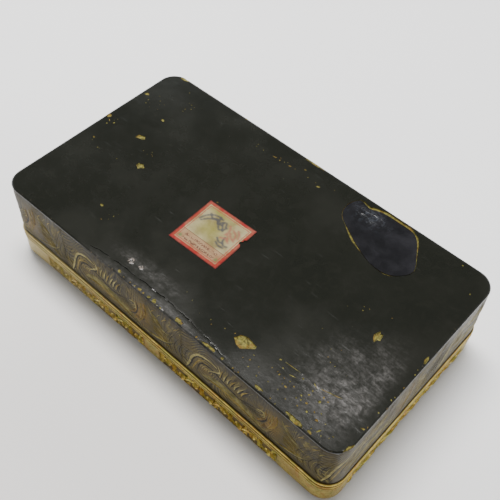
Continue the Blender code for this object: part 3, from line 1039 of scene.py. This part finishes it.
BLUSH_STROKES = (
    ((2.9, 7.4), (4.2, 5.2), (4.0, 2.8)), ((5.2, 6.6), (7.4, 5.4), (8.4, 3.2)),
    ((3.4, 0.4), (5.6, 1.4), (7.6, 0.2)), ((5.2, 4.6), (6.6, 3.2), (8.8, 2.2)),
    ((4.6, 3.4), (5.8, 2.4), (6.6, 0.9)), ((7.0, 7.6), (8.6, 6.2), (9.4, 4.4)),
)


def line_field(x, y, corners, breadth):
    """1 on a line through the corners, fading to 0 at breadth from it."""
    path = smooth_path(corners, 6)
    nearest = np.full(x.shape, 1e9)
    for start, end in zip(path, path[1:]):
        run = end - start
        share = np.clip(((x - start[0]) * run[0] + (y - start[1]) * run[1]) / (run @ run), 0, 1)
        nearest = np.minimum(nearest, np.hypot(x - start[0] - share * run[0],
                                               y - start[1] - share * run[1]))
    return np.clip(1 - nearest / breadth, 0, 1)


def label_outline():
    """The label's cut edge, a little uneven, with its torn place on the right."""
    half = LABEL_SIDE / 2
    corners = [(half, half), (-half, half), (-half, -half), (half, -half), LABEL_TEAR[-1]]
    outline = []
    for start, end in zip(np.array(corners), np.array(corners[1:])):
        outline += [start + (end - start) * share for share in np.arange(24) / 24]
    outline = np.array(outline + [np.array(point) for point in LABEL_TEAR[::-1]])
    chance = random.Random(4)
    return outline + [[chance.uniform(-0.05, 0.05), chance.uniform(-0.05, 0.05)] for _ in outline]


def label_fields(x, y):
    """What the label's finish reads: the place on it, and where each ink and stain is."""
    ink = sum(line_field(x, y, line, 0.75) for line in INK_STROKES)
    smudge = 0.95 + 0.45 * lumps(x, y, 0.8, 21.0)
    blush = sum(line_field(x, y, line, 0.8) for line in BLUSH_STROKES)
    green = sum(np.clip(1.35 - np.hypot(x - spot, y + 9.2) / 0.95, 0, 1) for spot in (-9.6, 9.8))
    rows = sum(np.clip(1.5 - np.abs(y - row) / 0.55, 0, 1) for row in (-7.2, -9.3))
    meadow = hill(x, y, -2, 0.5, 6, 4.5) + hill(x, y, -4, 9.6, 8, 1.6)
    return {"label_x": x, "label_y": y, "ink": np.clip(ink * smudge, 0, 0.85),
            "blush": np.clip(blush * smudge * 0.8, 0, 0.75), "green": green * 0.8,
            "rows": np.clip(rows * (np.abs(x) < 8.4), 0, 1), "stain_green": np.clip(meadow, 0, 1)}


def make_label(finish):
    """The pasted label: thin paper, cockled, with a torn place in its right edge."""
    half = LABEL_SIDE / 2
    outline = label_outline()
    inner = lattice((-half, -half), (half, half), 0.3)
    inner = inner[inside_outline(inner, outline) & ~near_outline(inner, outline, 0.15)]
    flat, faces = triangulated([outline], inner, 1)
    x, y = flat[:, 0], flat[:, 1]
    c, s = math.cos(LABEL_TURN), math.sin(LABEL_TURN)
    middle = (LABEL_LOW + LABEL_HIGH)[:2] / 2
    place = np.stack([middle[0] + c * x - s * y, middle[1] + s * x + c * y], 1)
    lifted = np.clip(1 - near_distance(flat, LABEL_TEAR) / 3.0, 0, 1) * 0.22
    z = (TOP + base_height(place[:, 0], place[:, 1]) + 0.12
         + 0.05 * lumps(x, y, 5, 12.0) + 0.02 * lumps(x, y, 1.6, 13.0) + lifted)
    upper = np.column_stack([place, z])
    count = len(flat)
    closed = faces + [[count + index for index in face][::-1] for face in faces]
    closed += [[b, a, count + a, count + b] for a, b in outline_edges(faces)]
    shape = Shape()
    shape.add(np.concatenate([upper, upper - (0, 0, LABEL_THICKNESS)]), closed)
    fields = {label: np.tile(values, 2) for label, values in label_fields(x, y).items()}
    piece = shape.make("pasted_label", [finish], "box", fields, 60)
    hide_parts("paper_label")


def near_distance(points, spots):
    """Each point's distance to the nearest of some spots."""
    return np.min([np.hypot(points[:, 0] - x, points[:, 1] - y) for x, y in spots], 0)


def outline_edges(faces):
    """The directed edges that only one face has."""
    pairs = {pair for face in faces for pair in zip(face, [*face[1:], face[0]])}
    return sorted((a, b) for a, b in pairs if (b, a) not in pairs)


# ---------------------------------------------------------------- hoops round the plan

def hoop(name, profile, step, finish, body, fields, sharp=40):
    """A closed section carried round the plan, its outer side wavering in and out."""
    s = around(step)
    rows = [on_wall(s, z, offset + (wavering(s, z, 8.0) if offset > -1.5 else 0.0))
            for offset, z in profile]
    shape = Shape()
    shape.add(np.concatenate(rows), ring_faces(len(profile), len(s), True))
    heights = np.repeat([z for _, z in profile], len(s))
    return shape.make(name, [finish], body, fields(np.tile(s, len(profile)), heights), sharp)


def make_bead(name, node, finish, body):
    """A gilt half-round bead in place of its CAD node, darkened with brown and painted shade in the
    quirks at its two edges.
    """
    (_, _, low), (reach, _, high) = node_box(node)
    proud, middle, radius = reach - LENGTH / 2, (low + high) / 2, (high - low) / 2

    def quirks(s, z):
        return {"hollow": np.clip((np.abs(z - middle) / radius - 0.56) / 0.26, 0, 1)}

    nose = [(proud - 0.06 - radius + radius * math.cos(a), low + radius + radius * math.sin(a))
            for a in np.linspace(-math.pi / 2, math.pi / 2, 13)]
    bead = hoop(name, nose + [(INNER_SIDE, high), (INNER_SIDE, low)], 1.0, finish, body, quirks, 70)
    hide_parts(node)


# The painted ornament repeats round the walls; the first scroll starts here on the front.
REPEATS = 8
LINE_PITCH = 1.7
REPEAT = PERIMETER / REPEATS
FIRST_SCROLL = 20.5


def combed(x, z):
    """A field whose level lines run as the foliage's fine lines do."""
    parts = (
        (hill(x, z, 8, 27, 9, 9), np.hypot(x - 9, z - 27.5) + 0.25 * np.arctan2(z - 27.5, x - 9)),
        (hill(x, z, 21, 34, 7, 6), 9 * np.arctan2(z - 25.5, x - 15)),
        (hill(x, z, 25, 22, 12, 4), z + 1.6 * np.sin(x / 7)),
        (hill(x, z, 40, 29, 6, 10), 1.1 * (x - 40) - 0.28 * (z - 28)),
        (hill(x, z, 54, 28, 9, 12), x + 3.4 * np.sin((z - 14) / 9)),
        (hill(x, z, 66, 24, 7, 10), np.hypot(x - 58, z - 12) * 0.9),
        (hill(x, z, -4, 26, 7, 10), np.hypot(x + 10, z - 12) * 0.9),
    )
    total = sum(weight for weight, _ in parts) + 1e-6
    return sum(weight * value for weight, value in parts) / total


GOLD_WASHES = ((20, 22.5, 17, 3.6, 0.9), (5, 31, 6, 5.0, 0.85), (18, 33, 7, 4.5, 0.85),
               (40, 31, 6.5, 7, 0.85), (-5, 21, 9, 4.5, 0.6), (53, 23, 8, 6, 0.45),
               (56, 36, 6, 3, 0.35))
ORANGE_WASHES = ((40.5, 29, 3.8, 7.0, 0.95), (7, 27, 4, 3, 0.5), (30, 21.5, 10, 2.8, 0.6))


def wash_fields(s, z):
    """Thin washes over the walls' ground, and its fine lines, by repeat."""
    x = (s - FIRST_SCROLL + 6) % REPEAT - 6
    gold = np.maximum.reduce([share * hill(x, z, *rest) for *rest, share in GOLD_WASHES])
    orange = np.maximum.reduce([share * hill(x, z, *rest) for *rest, share in ORANGE_WASHES])
    shade = np.clip(1 - (z - WALL_FOOT) / 1.9, 0, 1)
    shade = np.maximum(shade, 0.7 * np.clip((z - TOP + 2.6) / 1.2, 0, 1))
    return {"gold_wash": gold, "orange_wash": orange, "shade": shade, "flow": combed(x, z)}


# One repeat of the foliage, from the scroll's hook at 0 to the combed ground at 68. Each stroke:
# whether it has a dark edge below, its paint, shape, width, rise, points across and path.
SCROLL = (
    (True, CREAM, STEM, 2.0, 0.14, 3,
     ((-3.5, 17.6), (-1.4, 22.5), (0.2, 28.0), (3.0, 33.2), (8.0, 35.8), (13.0, 35.4))),
    (False, GOLD, LEAF, 1.1, 0.12, 3,
     ((-0.6, 18.4), (1.2, 23.5), (2.8, 28.2), (5.4, 31.4), (9.6, 32.4))),
    (False, DARK, LEAF, 2.0, 0.08, 3,
     ((2.4, 20.0), (3.6, 27.0), (6.2, 30.2), (10.0, 31.0), (14.4, 29.8), (19.0, 28.0),
      (24.2, 27.2), (29.0, 29.0), (33.6, 31.2))),
    (True, CREAM, LEAF, 1.8, 0.13, 3, ((13.6, 37.8), (14.6, 33.8), (11.4, 30.6), (8.2, 27.8))),
    (True, OLIVE, LEAF, 4.6, 0.14, 5,
     ((5.2, 20.9), (12.0, 24.6), (22.0, 24.6), (32.0, 21.8), (38.0, 18.6))),
    (False, GOLD, LEAF, 1.0, 0.20, 3, ((7.0, 21.0), (16.0, 22.8), (27.0, 21.6), (36.0, 18.8))),
    (False, CREAM, LEAF, 0.8, 0.20, 3, ((9.0, 22.8), (17.0, 24.6), (27.0, 23.6), (34.0, 21.0))),
    (True, OLIVE, LEAF, 1.3, 0.12, 3, ((17.0, 19.6), (25.0, 20.0), (33.0, 18.0), (41.0, 17.2))),
    (True, OLIVE, LEAF, 2.2, 0.12, 3, ((44.4, 38.6), (47.4, 33.2), (51.6, 29.6), (57.6, 27.8))),
    (True, ORANGE, LEAF, 4.6, 0.14, 5, ((35.6, 20.6), (39.0, 25.4), (41.6, 30.6), (42.4, 38.0))),
    (True, ORANGE, LEAF, 2.6, 0.12, 3, ((33.0, 22.4), (35.6, 25.6), (37.6, 30.2), (37.4, 35.4))),
    (False, GOLD, LEAF, 0.8, 0.24, 3, ((37.6, 20.2), (40.4, 25.6), (42.6, 31.0), (42.9, 37.0))),
    (False, CREAM, LEAF, 0.6, 0.24, 3, ((38.0, 21.6), (39.8, 27.0), (40.6, 32.0), (40.2, 36.0))),
    (True, CREAM, LEAF, 1.2, 0.13, 3, ((33.2, 31.2), (36.4, 32.2), (37.0, 29.2), (34.0, 27.8))),
    (True, OLIVE, LEAF, 2.0, 0.12, 3, ((40.0, 18.4), (47.0, 19.2), (54.0, 22.2), (58.6, 27.4))),
    (False, GOLD, LEAF, 0.6, 0.18, 3, ((43.0, 18.6), (49.0, 20.6), (54.6, 24.2))),
)


def scroll_fans():
    """The scroll's rows of small strokes, as in SCROLL but with steps in place of points across."""
    for i in range(7):
        x, lean = 14.6 + i * 1.8, 1.6 + i * 0.28
        yield (True, CREAM if i % 3 else GOLD, 1.15, 0.15, 3,
               ((x, 30.4 - abs(i - 3) * 0.2), (x + lean * 0.35, 33.4), (x + lean, 37.0)))
    for i in range(9):
        x = 15.2 + i * 1.6
        yield (False, DARK if i % 2 else OLIVE, 0.5, 0.09, 3,
               ((x + 1.0, 35.2), (x + 2.2, 37.8), (x + 2.0 + 0.2 * i, 40.4)))
    for i in range(11):
        z = 34.4 - i * 1.25
        yield (False, GOLD if i % 3 else CREAM, 0.55, 0.10, 4,
               ((46.0, z + 1.5), (48.6 + i * 0.25, z), (52.4 + i * 0.5, z - 3.2)))
    for i in range(10):
        x = 54.0 + i * 1.45
        yield (False, OLIVE if i % 2 else DARK, 0.5, 0.09, 4,
               ((x, 17.8 + i * 0.5), (x - 1.6, 24.0), (x - 0.4, 29.0), (x + 2.4, 34.4)))
    for i in range(5):
        x = 4.4 + i * 1.0
        yield False, CREAM, 0.5, 0.10, 3, ((x, 25.8), (x + 0.7, 28.0), (x + 2.2, 29.8))
    for i in range(6):
        x = 46.0 + i * 3.1
        yield (False, OLIVE if i % 2 else GOLD, 0.7, 0.10, 3,
               ((x, 35.4), (x + 1.2, 37.8), (x + 3.0, 39.4)))


def draw_scroll(shape, start, chance):
    """One repeat of the foliage from start on, each of its points moved a little."""
    def draw(edged, slot, width, rise, path, kind=LEAF, steps=5, across=3):
        moved = [(start + x + chance.uniform(-0.2, 0.2), z + chance.uniform(-0.2, 0.2))
                 for x, z in path]
        if edged:
            lower = [(x + 0.35, z - 0.35) for x, z in moved]
            stroke(shape, on_wall, lower, width + 0.9, rise * 0.45, DARK, kind, steps)
        stroke(shape, on_wall, moved, width, rise, slot, kind, steps, across)

    for edged, slot, kind, width, rise, across, path in SCROLL:
        draw(edged, slot, width, rise, path, kind, across=across)
    for edged, slot, width, rise, steps, path in scroll_fans():
        draw(edged, slot, width, rise, path, steps=steps)


def make_walls(ground, paints, gold):
    """The painted wall with its raised foliage, and the gilt bead at its foot."""
    foot, top = WALL_LOW[2] - 0.2, TOP - EDGE_ROUND - 0.12
    profile = [(0.0, z) for z in np.linspace(foot, top, 22)]
    profile += [(INNER_SIDE, top), (INNER_SIDE, foot)]
    wall = hoop("painted_wall", profile, 1.3, ground, "box", wash_fields)
    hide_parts("body_wall")

    foliage = Shape()
    chance = random.Random(7)
    for index in range(REPEATS):
        draw_scroll(foliage, FIRST_SCROLL + (index - REPEATS // 2) * REPEAT, chance)
    piece = foliage.make("wall_foliage", paints, "box", sharp=60)
    make_bead("mouth_bead_box", "body_rim", gold, "box")


# ---------------------------------------------------------------- the lid

LID_PROUD = LID_HIGH[0] - LENGTH / 2
LID_ROUND = 3.0
FRIEZE_LOW, FRIEZE_HIGH = 2.3, 10.5
FRIEZE_SINK = 0.35
FRIEZE_MARGIN, FRIEZE_PITCH = 1.5, 7.6

# Where the frieze runs along the plan; the stretches between, at the corners, are plain gold.
HALF_SIDE = CORE_Y - 3
FRIEZES = (
    (-70.0, -7.5), (0.5, 66.0),
    (PERIMETER / 4 - HALF_SIDE, PERIMETER / 4 + HALF_SIDE),
    (PERIMETER / 2 - 66.0, PERIMETER / 2 - 3.5), (PERIMETER / 2 + 3.5, PERIMETER / 2 + 66.0),
    (PERIMETER * 3 / 4 - HALF_SIDE, PERIMETER * 3 / 4 + HALF_SIDE),
)


def frieze_share(s):
    """1 where the frieze runs and 0 on the plain stretches, with short ends between."""
    share = np.zeros(s.shape)
    for start, end in FRIEZES:
        x = (s - start) % PERIMETER
        share = np.maximum(share, np.clip(np.minimum(x, end - start - x) / 1.2, 0, 1))
    return share


def lid_offset(z):
    """The lid's outline: a quarter-round lower edge and an upright side."""
    if z >= LID_ROUND:
        return LID_PROUD
    return LID_PROUD - LID_ROUND + math.sqrt(max(LID_ROUND ** 2 - (LID_ROUND - z) ** 2, 0))


def on_skirt(s, z, height):
    """A point on the lid's side, standing out along its own normal."""
    z = np.broadcast_to(z, s.shape).astype(float)
    height = np.broadcast_to(height, s.shape)
    low = np.clip((LID_ROUND - z) / LID_ROUND, 0, 1)
    bend = np.arcsin(low)
    base = np.array([lid_offset(v) for v in z]) - FRIEZE_SINK
    x, y, _, _ = on_plan(s, base + height * np.cos(bend))
    return np.stack([x, y, z - height * np.sin(bend)], -1)


def lid_fields(s, z):
    """Brown and painted shade in the frieze's ground, along its top edge and under the beads."""
    band = np.clip(np.minimum(z - FRIEZE_LOW + 0.8, FRIEZE_HIGH - z) / 0.5, 0, 1)
    quirk = np.clip(1 - np.abs(z - SKIRT_TOP + 0.25) / 0.5, 0, 1)
    line = np.clip(1 - np.abs(z - FRIEZE_HIGH + 0.05) / 0.4, 0, 1) * 0.6
    return {"hollow": np.maximum.reduce([band * frieze_share(s) * 0.88, quirk, line])}


def spiral(x, z, radius, turns, start, hand):
    """Points of a spiral that winds in towards (x, z)."""
    t = np.linspace(0, 1, max(5, int(turns * 7)))
    reach = radius * (1 - 0.82 * t)
    turn = start + hand * turns * 2 * math.pi * t
    return [(x + r * math.cos(a), z + r * math.sin(a)) for r, a in zip(reach, turn)]


def draw_frieze(shape, start, end, chance):
    """A running scroll of leaves between two places on the lid's side."""
    def draw(path, width, rise, kind=DROP):
        stroke(shape, on_skirt, path, width, rise, 0, kind, 3, 3, 0.10)

    run = end - start - 2 * FRIEZE_MARGIN
    count = max(2, round(run / FRIEZE_PITCH))
    pitch, first = run / count, start + FRIEZE_MARGIN
    middle = (FRIEZE_LOW + FRIEZE_HIGH) / 2
    draw([(first + index * pitch / 4, middle + 1.9 * math.sin(index * math.pi / 4))
          for index in range(count * 4 + 1)], 0.75, 0.50, STEM)
    for index in range(count):
        x, hand = first + (index + 0.5) * pitch, 1 if index % 2 else -1
        centre = middle - hand * 1.0
        turned = -hand * math.pi / 2 + chance.uniform(-0.2, 0.2)
        draw(spiral(x, centre, 2.7, 1.15, turned, hand), 0.65, 0.55)
        draw(spiral(x, centre, 1.75, 0.9, turned + 0.7, hand), 0.50, 0.45)
        draw([(x - 0.5, centre), (x, centre + 0.15), (x + 0.55, centre)], 0.8, 0.55, LEAF)
        for side in (-1, 1):
            for path, width, rise in leaf_tuft(x + side * pitch * 0.36, middle, hand, side):
                draw(path, width, rise)
    for edge, side in ((start + 1.0, -1), (end - 1.0, 1)):
        for z in FRIEZE_LOW + 1.0 + np.arange(5) * 1.6:
            draw([(edge - side * 2.6, middle + (z - middle) * 0.45), (edge - side * 1.0, z),
                  (edge + side * 0.6, z + 0.9)], 0.9, 0.50)


def leaf_tuft(foot, middle, hand, side):
    """Five leaves that fan out beside a spiral and two that point the other way."""
    for leaf in range(5):
        lean, tip = side * (0.1 + leaf * 0.52), middle + hand * (3.9 - leaf * 0.50)
        yield ((foot, middle + hand * 0.8), (foot + lean * 0.6, middle + hand * 2.1),
               (foot + lean, tip)), 0.52, 0.50
    yield ((foot, middle - hand * 2.0), (foot + side * 0.9, middle - hand * 3.1),
           (foot + side * 0.2, middle - hand * 3.9)), 0.6, 0.45
    yield ((foot - side * 0.6, middle - hand * 1.6), (foot - side * 0.9, middle - hand * 2.9),
           (foot - side * 0.3, middle - hand * 3.8)), 0.5, 0.40


def lid_outline():
    """The lid's outer profile, from its face up to its mouth, with a fillet under the bead."""
    rolled = LID_ROUND * (1 - np.cos(np.linspace(0.12, 1, 9) * math.pi / 2))
    upright = np.linspace(LID_ROUND, SKIRT_TOP - 1.35, 14)[1:]
    fillet = [(LID_PROUD + 0.14 * math.cos(a) + 0.02, SKIRT_TOP - 0.95 + 0.32 * math.sin(a))
              for a in np.linspace(-math.pi / 2, math.pi / 2, 5)]
    neck = [(LID_PROUD - 0.15, SKIRT_TOP - 0.4), (LID_PROUD - 0.15, SKIRT_TOP)]
    return [(lid_offset(z), z) for z in (*rolled, *upright)] + fillet + neck


def lid_rings(s):
    """Offsets and heights of the rings of the lid's skin, with the frieze's ground sunk in."""
    outer = lid_outline()
    sunk = frieze_share(s) * FRIEZE_SINK
    rings = [(outer[0][0] - 1.2, 0.0)]
    for offset, z in outer:
        band = float(np.clip(min(z - FRIEZE_LOW + 0.9, FRIEZE_HIGH + 0.1 - z) / 0.3, 0, 1))
        rings.append((offset - band * sunk + wavering(s, z, 4.0) - 0.05, z))
    return rings + [(INNER_SIDE, SKIRT_TOP), (INNER_SIDE, LID_HIGH[2])]


def make_lid(gold, relief_gold):
    """The gilt lid: its face and side in one skin, the raised frieze, and the rim bead."""
    s = around(0.9)
    rings = lid_rings(s)
    count, last = len(s), (len(rings) - 1) * len(s)
    caps = [list(range(count))[::-1], list(range(last, last + count))]
    shape = Shape()
    shape.add(np.concatenate([on_wall(s, z, offset) for offset, z in rings]),
              ring_faces(len(rings), count, False) + caps)
    fields = lid_fields(np.tile(s, len(rings)), np.repeat([z for _, z in rings], count))
    lid = shape.make("gilt_lid", [gold], "lid", fields)
    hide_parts("lid_panel", "lid_skirt")

    frieze = Shape()
    chance = random.Random(3)
    for start, end in FRIEZES:
        draw_frieze(frieze, start, end, chance)
    piece = frieze.make("lid_frieze", [relief_gold], "lid", sharp=70)
    make_bead("mouth_bead_lid", "lid_rim", gold, "lid")


# ---------------------------------------------------------------- inside, stage and camera

def finish_inside():
    """The liners and the lining sheets keep their CAD shapes and get their finishes."""
    lacquer, paper = red_lacquer(), lining_paper()
    for node, finish in (("liner_front", lacquer), ("liner_back", lacquer),
                         ("liner_left", lacquer), ("liner_right", lacquer),
                         ("floor_lining", paper), ("lid_lining", paper)):
        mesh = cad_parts[node].data
        mesh.materials.clear()
        mesh.materials.append(finish)


# The lamp hangs where its mirror image just misses the black face, off its near corner.
LAMP_PLACE, LAMP_SIZE, LAMP_POWER = (-0.21, 0.13, 1.05), (0.66, 0.32), 23.0
LAMP_COLOUR = (1.0, 0.975, 0.95)
# The surroundings' colour low down behind, in front, to the right, and high up.
WORLD_LOW, WORLD_FRONT = (4.6, 4.85, 5.1), (0.25, 0.245, 0.24)
WORLD_RIGHT, WORLD_HIGH = (1.60, 1.63, 1.67), (0.22, 0.22, 0.215)
FLOOR_SIDE = 6.0
# The camera's place and aim in metres, its roll in degrees, and its lens in millimetres.
CAMERA_PLACE, CAMERA_TARGET = (0.13027, -0.14866, 0.28549), (0.0094, -0.0052, 0.0433)
CAMERA_ROLL, CAMERA_LENS, CAMERA_SENSOR = 2.98, 55.78, 36.0


def make_lamp():
    """One soft lamp overhead, facing straight down."""
    lamp = bpy.data.lights.new("overhead", "AREA")
    lamp.shape = "ELLIPSE"
    lamp.size, lamp.size_y = LAMP_SIZE
    lamp.energy, lamp.color = LAMP_POWER, LAMP_COLOUR
    item = bpy.data.objects.new("overhead", lamp)
    item.location = LAMP_PLACE
    bpy.context.scene.collection.objects.link(item)


def make_world():
    """Studio surroundings: bright low down behind, dim in front and where the base mirrors."""
    world = bpy.data.worlds.new("studio")
    bpy.context.scene.world = world
    world.use_nodes = True
    sky = Nodes(world.node_tree, "Generated")
    colour = sky.mix(sky.toward((-0.60, 0.80, 0.0), -0.10, 0.60), WORLD_FRONT, WORLD_LOW)
    colour = sky.mix(sky.toward((0.94, 0.34, 0.0), 0.35, 0.85), colour, WORLD_RIGHT)
    colour = sky.mix(sky.toward((0.0, 0.0, 1.0), 0.50, 0.66), colour, WORLD_HIGH)
    sky.link(colour, sky.tree.nodes["Background"].inputs["Color"])


def make_stage():
    """The pale floor."""
    half = FLOOR_SIDE / 2
    mesh = bpy.data.meshes.new("floor")
    mesh.from_pydata([(-half, -half, 0), (half, -half, 0), (half, half, 0), (-half, half, 0)],
                     [], [(0, 1, 2, 3)])
    floor = bpy.data.objects.new("floor", mesh)
    mesh.materials.append(studio_paper())
    bpy.context.scene.collection.objects.link(floor)


def make_camera():
    """The camera at the photograph's viewing angle."""
    data = bpy.data.cameras.new("camera")
    data.lens, data.sensor_width = CAMERA_LENS, CAMERA_SENSOR
    camera = bpy.data.objects.new("camera", data)
    aim = (Vector(CAMERA_TARGET) - Vector(CAMERA_PLACE)).to_track_quat("-Z", "Y").to_matrix()
    roll = Matrix.Rotation(math.radians(CAMERA_ROLL), 3, "Z")
    camera.matrix_world = Matrix.Translation(CAMERA_PLACE) @ (aim @ roll).to_4x4()
    bpy.context.scene.collection.objects.link(camera)
    bpy.context.scene.camera = camera


def main():
    """Sets the stage and makes every piece."""
    make_camera()
    make_world()
    make_lamp()
    make_stage()
    make_base([black_lacquer(), ochre_ground()])
    make_flake(flake_lacquer())
    make_label(label_paper())
    make_walls(wall_ground(), [painted(*paint) for paint in PAINTS],
               aged_gold("rim_gold", 0.30, 1.60, 0.45))
    make_lid(aged_gold("lid_gold"), aged_gold("relief_gold", 0.32, 1.35, 0.70))
    finish_inside()


main()
